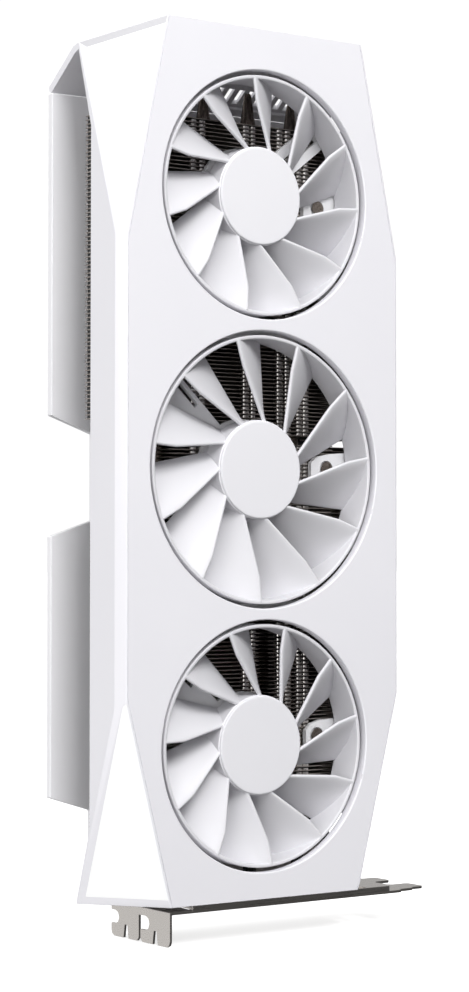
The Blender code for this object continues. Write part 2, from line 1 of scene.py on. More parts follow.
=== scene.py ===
import bpy
import bmesh
import math
import random
import numpy as np
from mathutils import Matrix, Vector


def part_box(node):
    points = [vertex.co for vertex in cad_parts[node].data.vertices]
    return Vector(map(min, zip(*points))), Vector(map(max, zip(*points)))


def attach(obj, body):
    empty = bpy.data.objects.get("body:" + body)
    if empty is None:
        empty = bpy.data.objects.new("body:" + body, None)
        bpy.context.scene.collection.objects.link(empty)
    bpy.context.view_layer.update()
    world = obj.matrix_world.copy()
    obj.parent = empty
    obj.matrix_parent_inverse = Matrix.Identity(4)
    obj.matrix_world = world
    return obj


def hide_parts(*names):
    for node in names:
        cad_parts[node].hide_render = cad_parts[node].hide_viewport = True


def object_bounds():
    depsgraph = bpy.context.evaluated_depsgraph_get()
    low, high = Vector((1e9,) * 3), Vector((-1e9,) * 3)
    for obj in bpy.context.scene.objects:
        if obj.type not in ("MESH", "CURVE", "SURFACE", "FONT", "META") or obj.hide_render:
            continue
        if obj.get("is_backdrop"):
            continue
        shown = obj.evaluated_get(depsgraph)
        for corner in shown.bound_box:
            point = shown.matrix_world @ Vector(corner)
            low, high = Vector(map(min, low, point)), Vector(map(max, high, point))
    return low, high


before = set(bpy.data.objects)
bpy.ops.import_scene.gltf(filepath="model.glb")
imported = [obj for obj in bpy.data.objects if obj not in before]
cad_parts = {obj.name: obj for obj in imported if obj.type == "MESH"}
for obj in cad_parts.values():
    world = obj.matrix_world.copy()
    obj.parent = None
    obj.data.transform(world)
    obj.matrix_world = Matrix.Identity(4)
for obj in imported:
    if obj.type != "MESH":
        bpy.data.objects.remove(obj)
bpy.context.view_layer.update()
random.seed(7)

# ---- card frame: millimetres, Y from the flat fan face, Z from the shroud's bracket end ----
S_LO, S_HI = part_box("shroud")
Y0, Z0 = S_LO.y, S_LO.z
MM = 0.001


def place(x, y, z):
    return Vector((x * MM, Y0 + y * MM, Z0 + z * MM))


def card(v):
    """Row-frame metres back to card millimetres."""
    return (v[0] / MM, (v[1] - Y0) / MM, (v[2] - Z0) / MM)


LEN = (S_HI.z - S_LO.z) / MM
HALF_W = (S_HI.x - S_LO.x) / 2 / MM
FACE_HALF, TOP_HALF, LOW_HALF = 60.3, 43.3, 41.5
TAPER_LO, TAPER_HI = 74.0, 234.3
STRIP_Y, WALL, SIDE_Y, CORNER_Y = 4.5, 2.4, 20.7, 29.3
END_DROP = 0.2476
CAP_Y, CAP_Z, TIP_Y, TIP_Z = 33.2, 307.4, 50.4, 294.9
PHASE = {"low": 12.2, "mid": 6.0, "top": -2.5}
ARM = {"low": 140.0, "mid": 136.0, "top": 38.0}
HOLE = {"low": 45.5, "mid": 50.5, "top": 45.5}
FANS = {}
for key in ("low", "mid", "top"):
    lo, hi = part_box("impeller_" + key)
    c = card((lo + hi) / 2)
    FANS[key] = (c[0], c[2], (hi.x - lo.x) / 2 / MM)
BLADES = 11

# ---- mesh helpers ---------------------------------------------------------------------


def to_object(bm, name="tmp"):
    bmesh.ops.recalc_face_normals(bm, faces=bm.faces)
    me = bpy.data.meshes.new(name)
    bm.to_mesh(me)
    bm.free()
    ob = bpy.data.objects.new(name, me)
    bpy.context.scene.collection.objects.link(ob)
    return ob


def from_lists(verts, faces, name="tmp"):
    me = bpy.data.meshes.new(name)
    me.from_pydata([tuple(v) for v in verts], [], faces)
    me.validate()
    ob = bpy.data.objects.new(name, me)
    bpy.context.scene.collection.objects.link(ob)
    return ob


def bm_of(verts, faces):
    ob = from_lists(verts, faces)
    bm = bmesh.new()
    bm.from_mesh(ob.data)
    bpy.data.objects.remove(ob, do_unlink=True)
    return bm


def boolean(a, b, op):
    md = a.modifiers.new("b", "BOOLEAN")
    md.operation = op
    md.object = b
    md.solver = "EXACT"
    dg = bpy.context.evaluated_depsgraph_get()
    dg.update()
    me = bpy.data.meshes.new_from_object(a.evaluated_get(dg))
    a.modifiers.clear()
    bm = bmesh.new()
    bm.from_mesh(me)
    bmesh.ops.remove_doubles(bm, verts=bm.verts, dist=0.0005)
    bm.to_mesh(me)
    bm.free()
    old = a.data
    a.data = me
    bpy.data.meshes.remove(old)
    bpy.data.objects.remove(b, do_unlink=True)
    return a


def union(a, *bs):
    for b in bs:
        boolean(a, b, "UNION")
    return a


def cut(a, *bs):
    for b in bs:
        boolean(a, b, "DIFFERENCE")
    return a


def joined(obs):
    bm = bmesh.new()
    for o in obs:
        bm.from_mesh(o.data)
        bpy.data.objects.remove(o, do_unlink=True)
    return to_object(bm)


def prism(axis, pts, a, b):
    bm = bmesh.new()
    lo, hi = [], []
    for u, v in pts:
        p, q = {"X": ((a, u, v), (b, u, v)), "Y": ((u, a, v), (u, b, v)), "Z": ((u, v, a), (u, v, b))}[axis]
        lo.append(bm.verts.new(p))
        hi.append(bm.verts.new(q))
    bm.faces.new(lo)
    bm.faces.new(hi[::-1])
    for i in range(len(pts)):
        j = (i + 1) % len(pts)
        bm.faces.new((lo[i], hi[i], hi[j], lo[j]))
    return to_object(bm)


def block(x0, x1, y0, y1, z0, z1, r=0.0, seg=2):
    ob = prism("Z", [(x0, y0), (x1, y0), (x1, y1), (x0, y1)], z0, z1)
    if r > 0:
        round_edges(ob, r, seg)
    return ob


def round_edges(ob, r, seg=2, angle=30.0, keep=None):
    """Rounds the edges of a clean solid whose faces meet at more than angle."""
    bm = bmesh.new()
    bm.from_mesh(ob.data)
    es = [e for e in bm.edges if len(e.link_faces) == 2 and e.calc_face_angle(0) > math.radians(angle) and (keep is None or keep(e))]
    bmesh.ops.bevel(bm, geom=es, offset=r, segments=seg, profile=0.5, affect="EDGES", clamp_overlap=True)
    bmesh.ops.recalc_face_normals(bm, faces=bm.faces)
    bm.to_mesh(ob.data)
    bm.free()
    return ob


def ngon(cu, cv, r, n, start=0.0):
    return [(cu + r * math.cos(start + 2 * math.pi * i / n), cv + r * math.sin(start + 2 * math.pi * i / n)) for i in range(n)]


def rounded(pts, radii, seg=5):
    """Rounds the corners of a closed outline. radii is one number or one per corner."""
    out = []
    n = len(pts)
    for i, p in enumerate(pts):
        r = radii if isinstance(radii, (int, float)) else radii[i]
        a, b = np.array(pts[i - 1], float), np.array(pts[(i + 1) % n], float)
        p = np.array(p, float)
        u, v = a - p, b - p
        lu, lv = np.linalg.norm(u), np.linalg.norm(v)
        u, v = u / lu, v / lv
        ang = math.acos(max(-1.0, min(1.0, float(np.dot(u, v)))))
        if r <= 0 or ang > math.pi - 0.02:
            out.append(tuple(p))
            continue
        t = min(r / math.tan(ang / 2), lu * 0.48, lv * 0.48)
        rr = t * math.tan(ang / 2)
        bis = (u + v) / np.linalg.norm(u + v)
        cen = p + bis * (rr / math.sin(ang / 2))
        s, e = p + u * t - cen, p + v * t - cen
        a0, a1 = math.atan2(s[1], s[0]), math.atan2(e[1], e[0])
        d = (a1 - a0 + math.pi) % (2 * math.pi) - math.pi
        for k in range(seg + 1):
            q = a0 + d * k / seg
            out.append((cen[0] + rr * math.cos(q), cen[1] + rr * math.sin(q)))
    return out


def revolve(profile, x, z, n, closed_axis=False):
    bm = bmesh.new()
    rings = []
    for r, y in profile:
        if r < 1e-6:
            rings.append([bm.verts.new((x, y, z))])
        else:
            rings.append([bm.verts.new((x + r * math.cos(2 * math.pi * i / n), y, z + r * math.sin(2 * math.pi * i / n))) for i in range(n)])
    m = len(rings)
    last = m - 1 if closed_axis else m
    for k in range(last):
        p, q = rings[k], rings[(k + 1) % m]
        for i in range(n):
            j = (i + 1) % n
            if len(p) == 1 and len(q) == 1:
                continue
            if len(p) == 1:
                bm.faces.new((p[0], q[i], q[j]))
            elif len(q) == 1:
                bm.faces.new((p[i], q[0], p[j]))
            else:
                bm.faces.new((p[i], q[i], q[j], p[j]))
    return to_object(bm)


def arc(cr, cy, r, a0, a1, n):
    return [(cr + r * math.cos(math.radians(a0 + (a1 - a0) * k / n)), cy + r * math.sin(math.radians(a0 + (a1 - a0) * k / n))) for k in range(n + 1)]


def solid_from_planes(planes):
    pts = []
    for i in range(len(planes)):
        for j in range(i + 1, len(planes)):
            for k in range(j + 1, len(planes)):
                m = np.array([planes[i][0], planes[j][0], planes[k][0]], float)
                if abs(np.linalg.det(m)) < 1e-6:
                    continue
                p = np.linalg.solve(m, np.array([planes[i][1], planes[j][1], planes[k][1]], float))
                if all(np.dot(n, p) <= d + 1e-5 for n, d in planes) and not any(np.linalg.norm(p - q) < 1e-4 for q in pts):
                    pts.append(p)
    bm = bmesh.new()
    for p in pts:
        bm.verts.new(tuple(p))
    bmesh.ops.convex_hull(bm, input=bm.verts)
    bmesh.ops.dissolve_limit(bm, angle_limit=math.radians(0.6), verts=bm.verts, edges=bm.edges)
    return to_object(bm)


def plane3(a, b, c, inside, t=0.0):
    a, b, c = (np.array(v, float) for v in (a, b, c))
    n = np.cross(b - a, c - a)
    n = n / np.linalg.norm(n)
    if np.dot(n, np.array(inside, float) - a) > 0:
        n = -n
    return (n, float(np.dot(n, a)) - t)


def settle(name, ob, mat, body="card", replaces=(), sharp=35.0, weighted=False):
    """Moves a finished piece from card millimetres into the row frame and dresses it."""
    bm = bmesh.new()
    bm.from_mesh(ob.data)
    bmesh.ops.remove_doubles(bm, verts=bm.verts, dist=0.0005)
    loose = [v for v in bm.verts if not v.link_faces]
    bmesh.ops.delete(bm, geom=loose, context="VERTS")
    for v in bm.verts:
        v.co = place(*v.co)
    bm.to_mesh(ob.data)
    bm.free()
    me = ob.data
    me.polygons.foreach_set("use_smooth", [True] * len(me.polygons))
    me.set_sharp_from_angle(angle=math.radians(sharp))
    if weighted:
        w = ob.modifiers.new("wn", "WEIGHTED_NORMAL")
        w.keep_sharp = True
    me.materials.clear()
    me.materials.append(mat)
    ob.name = name
    me.name = name
    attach(ob, body)
    if replaces:
        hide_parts(*replaces)
    return ob


# ---- materials --------------------------------------------------------------------------


class Finish:
    def __init__(self, name, rgb=(0.8, 0.8, 0.8), metallic=0.0, rough=0.5, **values):
        self.m = bpy.data.materials.new(name)
        self.m.use_nodes = True
        self.nt = self.m.node_tree
        self.b = self.nt.nodes["Principled BSDF"]
        self.b.inputs["Base Color"].default_value = (*rgb, 1.0)
        self.b.inputs["Metallic"].default_value = metallic
        self.b.inputs["Roughness"].default_value = rough
        for k, v in values.items():
            self.b.inputs[k.replace("_", " ")].default_value = v
        self.tc = self.nt.nodes.new("ShaderNodeTexCoord").outputs["Object"]

    def coords(self, scale):
        n = self.nt.nodes.new("ShaderNodeMapping")
        n.inputs["Scale"].default_value = scale
        self.nt.links.new(self.tc, n.inputs["Vector"])
        return n.outputs["Vector"]

    def noise(self, scale, detail=3.0, rough=0.5, vec=None):
        n = self.nt.nodes.new("ShaderNodeTexNoise")
        n.inputs["Scale"].default_value = scale
        n.inputs["Detail"].default_value = detail
        n.inputs["Roughness"].default_value = rough
        self.nt.links.new(vec or self.tc, n.inputs["Vector"])
        return n.outputs["Fac"]

    def voronoi(self, scale, vec=None, feature="F1"):
        n = self.nt.nodes.new("ShaderNodeTexVoronoi")
        n.feature = feature
        n.inputs["Scale"].default_value = scale
        self.nt.links.new(vec or self.tc, n.inputs["Vector"])
        return n.outputs["Distance"]

    def ramp(self, fac, stops):
        n = self.nt.nodes.new("ShaderNodeValToRGB")
        e = n.color_ramp.elements
        while len(e) < len(stops):
            e.new(0.5)
        for i, (p, c) in enumerate(stops):
            e[i].position = p
            e[i].color = (c, c, c, 1.0) if isinstance(c, (int, float)) else (*c, 1.0)
        self.nt.links.new(fac, n.inputs["Fac"])
        return n.outputs["Color"]

    def maths(self, op, a, b):
        n = self.nt.nodes.new("ShaderNodeMath")
        n.operation = op
        for i, v in enumerate((a, b)):
            if isinstance(v, (int, float)):
                n.inputs[i].default_value = v
            else:
                self.nt.links.new(v, n.inputs[i])
        return n.outputs[0]

    def mix(self, fac, a, b):
        n = self.nt.nodes.new("ShaderNodeMix")
        n.data_type = "RGBA"
        self.nt.links.new(fac, n.inputs[0])
        for i, v in ((6, a), (7, b)):
            if isinstance(v, tuple):
                n.inputs[i].default_value = (*v, 1.0)
            else:
                self.nt.links.new(v, n.inputs[i])
        return n.outputs[2]

    def colour(self, out):
        self.nt.links.new(out, self.b.inputs["Base Color"])

    def roughness(self, out, lo, hi):
        n = self.nt.nodes.new("ShaderNodeMapRange")
        n.inputs["From Min"].default_value = 0.3
        n.inputs["From Max"].default_value = 0.7
        n.inputs["To Min"].default_value = lo
        n.inputs["To Max"].default_value = hi
        self.nt.links.new(out, n.inputs["Value"])
        self.nt.links.new(n.outputs["Result"], self.b.inputs["Roughness"])

    def bump(self, *heights):
        """Each height is (output, distance in metres, strength)."""
        last = None
        for out, dist, strength in heights:
            n = self.nt.nodes.new("ShaderNodeBump")
            n.inputs["Distance"].default_value = dist
            n.inputs["Strength"].default_value = strength
            self.nt.links.new(out, n.inputs["Height"])
            if last is not None:
                self.nt.links.new(last, n.inputs["Normal"])
            last = n.outputs["Normal"]
        self.nt.links.new(last, self.b.inputs["Normal"])


def white_plastic(name, lo, hi, r0, r1, grain):
    f = Finish(name, rough=0.45, Specular_IOR_Level=0.42)
    f.colour(f.ramp(f.noise(18.0, 3.0), [(0.3, lo), (0.7, hi)]))
    f.roughness(f.noise(320.0, 4.0, 0.6), r0, r1)
    f.bump((f.noise(grain, 2.0, 0.6), 0.00002, 0.35), (f.noise(60.0, 2.0), 0.00012, 0.08))
    return f.m


M_SHROUD = white_plastic("shroud_white_moulded", (0.854, 0.846, 0.886), (0.872, 0.864, 0.902), 0.40, 0.52, 5200.0)
# painted shade: a much darker copy of the shroud white for the tilted band along the top facet's end edge
M_BAND_PAINTED_SHADE = white_plastic("upper_band_painted_shade", (0.600, 0.595, 0.620), (0.620, 0.615, 0.640), 0.42, 0.54, 5200.0)
# painted light: the facet inlays get a brighter white than the shroud and a white emission, a painted glow
M_INLAY_PAINTED_GLOW = white_plastic("facet_white_gloss_painted_glow", (0.950, 0.950, 0.952), (0.965, 0.965, 0.966), 0.36, 0.44, 5200.0)
M_INLAY_PAINTED_GLOW.node_tree.nodes["Principled BSDF"].inputs["Emission Color"].default_value = (1.0, 1.0, 1.0, 1.0)
M_INLAY_PAINTED_GLOW.node_tree.nodes["Principled BSDF"].inputs["Emission Strength"].default_value = 0.12
M_FAN = white_plastic("fan_white_moulded", (0.752, 0.746, 0.778), (0.774, 0.768, 0.798), 0.40, 0.50, 7000.0)
M_HUB = white_plastic("hub_white_moulded", (0.842, 0.836, 0.870), (0.864, 0.858, 0.890), 0.36, 0.46, 7000.0)
M_FRAME = white_plastic("frame_white_moulded", (0.800, 0.800, 0.815), (0.830, 0.830, 0.843), 0.42, 0.55, 5000.0)

f = Finish("white_powder_coat", rough=0.4, Specular_IOR_Level=0.45)
f.colour(f.ramp(f.noise(14.0, 3.0), [(0.3, (0.915, 0.910, 0.935)), (0.7, (0.935, 0.930, 0.955))]))
f.roughness(f.noise(500.0, 4.0), 0.34, 0.46)
f.bump((f.voronoi(1900.0), 0.00003, 0.28), (f.noise(240.0, 2.0), 0.00008, 0.12))
M_PAINT = f.m

f = Finish("black_nickel_fins", metallic=1.0, rough=0.36)
streak = f.noise(1.0, 3.0, 0.5, f.coords((60.0, 900.0, 90.0)))
blotch = f.noise(70.0, 3.0)
f.colour(f.mix(blotch, f.ramp(streak, [(0.25, (0.360, 0.328, 0.300)), (0.75, (0.520, 0.480, 0.445))]), (0.420, 0.376, 0.340)))
f.roughness(streak, 0.30, 0.46)
f.bump((streak, 0.00002, 0.25))
M_FINS = f.m

# painted highlight: the lock tabs are the fin metal given a brighter base colour than the fins, on top of their real
# low-roughness reflections
f = Finish("lock_tabs_painted_highlight", metallic=1.0, rough=0.3)
g = f.noise(900.0, 3.0)
f.colour(f.ramp(g, [(0.3, (0.560, 0.530, 0.500)), (0.7, (0.800, 0.775, 0.745))]))
f.roughness(g, 0.22, 0.4)
f.bump((g, 0.00003, 0.3))
M_LOCK_PAINTED_HIGHLIGHT = f.m

f = Finish("black_nickel_pipe", metallic=1.0, rough=0.28)
streak = f.noise(1.0, 4.0, 0.6, f.coords((1600.0, 1600.0, 60.0)))
f.colour(f.mix(f.noise(60.0, 3.0), f.ramp(streak, [(0.25, (0.165, 0.140, 0.120)), (0.75, (0.260, 0.228, 0.200))]), (0.215, 0.178, 0.146)))
f.roughness(streak, 0.20, 0.36)
f.bump((streak, 0.00003, 0.3))
M_PIPE = f.m

f = Finish("nickel_plated_steel", metallic=1.0, rough=0.3)
brush = f.noise(1.0, 4.0, 0.65, f.coords((40.0, 2600.0, 2600.0)))
f.colour(f.mix(f.noise(45.0, 3.0), f.ramp(brush, [(0.25, (0.560, 0.530, 0.500)), (0.75, (0.660, 0.630, 0.600))]), (0.610, 0.580, 0.552)))
f.roughness(brush, 0.22, 0.38)
f.bump((brush, 0.00002, 0.25), (f.noise(700.0, 2.0), 0.00004, 0.08))
M_STEEL = f.m

f = Finish("screw_steel_dark", metallic=1.0, rough=0.35)
turn = f.noise(1500.0, 3.0)
f.colour(f.ramp(turn, [(0.3, (0.200, 0.170, 0.145)), (0.7, (0.330, 0.290, 0.250))]))
f.roughness(turn, 0.25, 0.42)
f.bump((turn, 0.00003, 0.3))
M_SCREW = f.m

f = Finish("board_soldermask", rough=0.35, Coat_Weight=0.35)
f.b.inputs["Coat Roughness"].default_value = 0.2
trace = f.voronoi(210.0, f.coords((1.0, 1.0, 2.6)), "DISTANCE_TO_EDGE")
via = f.voronoi(620.0)
lines = f.ramp(trace, [(0.035, 1.0), (0.06, 0.0)])
dots = f.ramp(via, [(0.10, 1.0), (0.14, 0.0)])
f.colour(f.mix(dots, f.mix(lines, (0.012, 0.014, 0.017), (0.026, 0.030, 0.035)), (0.070, 0.072, 0.070)))
f.roughness(f.noise(380.0, 3.0), 0.28, 0.42)
f.bump((lines, 0.00004, 0.35), (dots, 0.00004, 0.3))
M_BOARD = f.m

f = Finish("gold_contacts", metallic=1.0, rough=0.25)
g = f.noise(900.0, 3.0)
f.colour(f.ramp(g, [(0.3, (0.720, 0.510, 0.200)), (0.7, (0.860, 0.640, 0.290))]))
f.roughness(g, 0.18, 0.34)
f.bump((g, 0.00002, 0.3))
M_GOLD = f.m

f = Finish("chip_epoxy", rough=0.5)
g = f.noise(2600.0, 3.0)
f.colour(f.ramp(g, [(0.3, (0.017, 0.017, 0.018)), (0.7, (0.034, 0.034, 0.035))]))
f.roughness(g, 0.42, 0.62)
f.bump((g, 0.00004, 0.5))
M_CHIP = f.m

f = Finish("silicon_mirror", metallic=0.6, rough=0.12)
g = f.noise(300.0, 2.0)
f.colour(f.ramp(g, [(0.3, (0.270, 0.280, 0.310)), (0.7, (0.330, 0.340, 0.370))]))
f.roughness(g, 0.08, 0.16)
f.bump((g, 0.00001, 0.1))
M_DIE = f.m

f = Finish("ferrite_sintered", rough=0.6)
g = f.noise(3800.0, 4.0, 0.7)
f.colour(f.ramp(g, [(0.3, (0.075, 0.075, 0.078)), (0.7, (0.150, 0.150, 0.154))]))
f.roughness(g, 0.5, 0.72)
f.bump((g, 0.00005, 0.5))
M_FERRITE = f.m

f = Finish("copper_winding", metallic=1.0, rough=0.3)
w = f.nt.nodes.new("ShaderNodeTexWave")
w.bands_direction = "Y"
w.inputs["Scale"].default_value = 900.0
w.inputs["Distortion"].default_value = 1.0
f.nt.links.new(f.tc, w.inputs["Vector"])
f.colour(f.ramp(w.outputs["Fac"], [(0.2, (0.300, 0.120, 0.045)), (0.8, (0.680, 0.320, 0.150))]))
f.roughness(w.outputs["Fac"], 0.22, 0.4)
f.bump((w.outputs["Fac"], 0.0001, 0.6))
M_COPPER = f.m

f = Finish("socket_nylon", rough=0.5)
g = f.noise(2200.0, 3.0)
f.colour(f.ramp(g, [(0.3, (0.012, 0.012, 0.013)), (0.7, (0.026, 0.026, 0.027))]))
f.roughness(g, 0.38, 0.58)
f.bump((g, 0.00003, 0.4))
M_NYLON = f.m

f = Finish("ceramic_parts", rough=0.45)
g = f.noise(1400.0, 2.0)
f.colour(f.ramp(f.noise(160.0, 1.0), [(0.35, (0.240, 0.160, 0.090)), (0.5, (0.330, 0.250, 0.170)), (0.65, (0.120, 0.120, 0.125))]))
f.roughness(g, 0.35, 0.55)
f.bump((g, 0.00003, 0.3))
M_CERAMIC = f.m

# ---- shroud -----------------------------------------------------------------------------
MID = (0.0, 10.0, 150.0)
TOP_CORNER_Z = LEN - END_DROP * CORNER_Y
BAND, LIFT = 3.0, 0.3


def band_plane(a, b, n0, d0):
    """Plane through the line a-b that rises LIFT above the facet (n0, d0) at BAND inside that line."""
    a, b = np.array(a, float), np.array(b, float)
    u = (b - a) / np.linalg.norm(b - a)
    w = np.cross(n0, u)
    w = w / np.linalg.norm(w)
    if np.dot(w, np.array(MID) - a) < 0:
        w = -w
    return plane3(a, b, a + w * BAND + n0 * LIFT, MID)


def shroud_planes(t, back, bands):
    pl = [(np.array((0, -1, 0.0)), -t)]
    for s in (-1, 1):
        pl.append((np.array((s, 0, 0.0)), HALF_W - t))
        pl.append(plane3((s * FACE_HALF, 0, 0), (s * FACE_HALF, 0, 100), (s * HALF_W, STRIP_Y, 50), MID, t))
        low = ((s * LOW_HALF, 0, 0), (s * FACE_HALF, 0, TAPER_LO), (s * HALF_W, CORNER_Y, 0))
        top = ((s * TOP_HALF, 0, LEN), (s * FACE_HALF, 0, TAPER_HI), (s * HALF_W, CORNER_Y, TOP_CORNER_Z))
        for k, pts in enumerate((low, top)):
            n, d = plane3(*pts, MID, t)
            if not bands:
                pl.append((n, d))
                continue
            pl.append((n, d + LIFT))
            pl.append(band_plane(pts[0], pts[2], n, d))
            # rear edge of the facet, on the side wall
            z_at = (lambda y: (HALF_W - LOW_HALF - (HALF_W - LOW_HALF) / CORNER_Y * y) / ((FACE_HALF - LOW_HALF) / TAPER_LO)) if k == 0 else None
            if k == 0:
                far = (s * HALF_W, 8.0, z_at(8.0))
            else:
                # point of the facet plane on the side wall at y = 8
                z = (d - n[0] * s * HALF_W - n[1] * 8.0) / n[2]
                far = (s * HALF_W, 8.0, z)
            pl.append(band_plane(pts[2], far, n, d))
    pl.append((np.array((0, 0, -1.0)), -t))
    n = np.array((0, END_DROP, 1.0))
    n = n / np.linalg.norm(n)
    pl.append((n, float(np.dot(n, (0, 0, LEN))) - t))
    pl.append((np.array((0, 1.0, 0)), back))
    return pl


shroud = solid_from_planes(shroud_planes(0.0, CORNER_Y, True))
round_edges(shroud, 0.22, 3, 12.0, keep=lambda e: min(v.co.y for v in e.verts) < CORNER_Y - 0.05)
cut(shroud, solid_from_planes(shroud_planes(WALL, 60.0, False)))
side = [(SIDE_Y, 27.0), (SIDE_Y, 277.0), (CORNER_Y + 0.02, TOP_CORNER_Z - 2.6), (60.0, TOP_CORNER_Z - 2.6), (60.0, -5.0), (CORNER_Y + 0.02, -5.0), (CORNER_Y + 0.02, 1.2)]
for s in (-1, 1):
    cut(shroud, prism("X", side, s * 52.0, s * 70.0))
ux, uz = TIP_Y - CAP_Y, TIP_Z - CAP_Z
ul = math.hypot(ux, uz)
ux, uz = ux / ul, uz / ul
nx, nz = uz * 2.8, -ux * 2.8
y_a = CORNER_Y - 0.1
cap = [(y_a, LEN - END_DROP * y_a), (CAP_Y - 0.7, LEN - END_DROP * (CAP_Y - 0.7)), (CAP_Y - 0.1, CAP_Z - 0.05), (CAP_Y + 0.45, CAP_Z - 0.42),
       (TIP_Y - 0.9 * ux, TIP_Z - 0.9 * uz), (TIP_Y - 0.35 * ux + 0.08 * nx, TIP_Z - 0.35 * uz + 0.08 * nz), (TIP_Y + 0.3 * nx, TIP_Z + 0.3 * nz),
       (TIP_Y + 0.62 * nx, TIP_Z + 0.62 * nz), (TIP_Y - 0.4 * ux + 0.9 * nx, TIP_Z - 0.4 * uz + 0.9 * nz), (TIP_Y + nx - 1.1 * ux, TIP_Z + nz - 1.1 * uz),
       (CAP_Y + nx + 0.4, CAP_Z + nz - 0.3), (y_a, LEN - END_DROP * y_a - WALL * 1.03)]
capo = prism("X", cap, -HALF_W, HALF_W)
union(shroud, capo)
k0, k1 = (37.0 - CAP_Y) / ux, (47.0 - CAP_Y) / ux
f0, f1 = 1.4 / 2.8, 5.0 / 2.8
cut(shroud, prism("X", [(CAP_Y + ux * k + nx * g, CAP_Z + uz * k + nz * g) for k, g in ((k0, f0), (k1, f0), (k1, f1), (k0, f1))], -47.0, 47.0))
slots = []
for i in range(-9, 9):
    x = 4.82 * (i + 0.5)
    slots.append(prism("X", [(39.1, 285.0), (39.1, 310.0), (44.95, 310.0), (44.95, 285.0)], x - 1.25, x + 1.25))
cut(shroud, joined(slots))
# fine parting groove round the flat face
outline = [(TOP_HALF, LEN), (FACE_HALF, TAPER_HI), (FACE_HALF, TAPER_LO), (LOW_HALF, 0.0)]
for s in (-1, 1):
    for (xa, za), (xb, zb) in zip(outline, outline[1:]):
        du, dw = s * (xb - xa), zb - za
        dl = math.hypot(du, dw)
        du, dw = du / dl, dw / dl
        px, pz = (-dw, du) if (-dw) * s < 0 else (dw, -du)
        a, b = (s * xa + px * 0.30 - du * 0.4, za + pz * 0.30 - dw * 0.4), (s * xb + px * 0.30 + du * 0.4, zb + pz * 0.30 + dw * 0.4)
        cut(shroud, prism("Y", [a, b, (b[0] + px * 0.28, b[1] + pz * 0.28), (a[0] + px * 0.28, a[1] + pz * 0.28)], -1.0, 0.28))
SEG = 160
for key, (fx, fz, rr) in FANS.items():
    union(shroud, revolve([(0, WALL - 0.4), (HOLE[key] + 1.5, WALL - 0.4), (HOLE[key] + 1.5, 3.4), (0, 3.4)], fx, fz, SEG, True))
for key, (fx, fz, rr) in FANS.items():
    fr = HOLE[key]
    prof = [(0, -2.0), (fr + 0.5, -2.0), (fr + 0.5, -0.001)] + [(fr + 0.5 - 0.5 * math.sin(math.radians(a)), 0.5 - 0.5 * math.cos(math.radians(a))) for a in (10, 35, 60, 90)] + [(fr, 8.0), (0, 8.0)]
    cut(shroud, revolve(prof, fx, fz, SEG, True))
for bx, bz in [(s * 54.0, z) for s in (-1, 1) for z in (104.5, 205.5)] + [(s * 44.0, z) for s in (-1, 1) for z in (29.8, 282.0)]:
    union(shroud, revolve([(0, WALL - 0.4), (2.6, WALL - 0.4), (2.6, 15.7), (0, 15.7)], bx, bz, 24, True))
settle("shroud_moulding", shroud, M_SHROUD, replaces=["shroud"], sharp=28.0, weighted=True)
# the raised inner part of each facet is smoother plastic with a brighter white and a small white emission, a painted
# glow standing in for light
shroud.data.materials.append(M_INLAY_PAINTED_GLOW)
# the tilted band along the top end gets the darker white, painted shade
shroud.data.materials.append(M_BAND_PAINTED_SHADE)
facets = []
for s in (-1, 1):
    facets.append(plane3((s * LOW_HALF, 0, 0), (s * FACE_HALF, 0, TAPER_LO), (s * HALF_W, CORNER_Y, 0), MID))
    facets.append(plane3((s * TOP_HALF, 0, LEN), (s * FACE_HALF, 0, TAPER_HI), (s * HALF_W, CORNER_Y, TOP_CORNER_Z), MID))
for p in shroud.data.polygons:
    pn, pc = np.array(p.normal), np.array(card(p.center))
    if any(np.dot(pn, n) > 0.9999 and abs(np.dot(pc, n) - d - LIFT) < 0.03 for n, d in facets):
        p.material_index = 1
    # band faces tilted towards the top end take the darker painted-shade white
    elif any(np.dot(pn, n) > 0.975 and n[2] > 0 and pn[2] > n[2] + 0.03 for n, d in facets):
        p.material_index = 2

# ---- impellers ----------------------------------------------------------------------------
HUB_R, HUB_FRONT, HUB_BACK = 17.8, 3.6, 13.4


def polar_line(p, q, t):
    x0, z0 = p[0] * math.cos(math.radians(p[1])), p[0] * math.sin(math.radians(p[1]))
    x1, z1 = q[0] * math.cos(math.radians(q[1])), q[0] * math.sin(math.radians(q[1]))
    return x0 + (x1 - x0) * t, z0 + (z1 - z0) * t


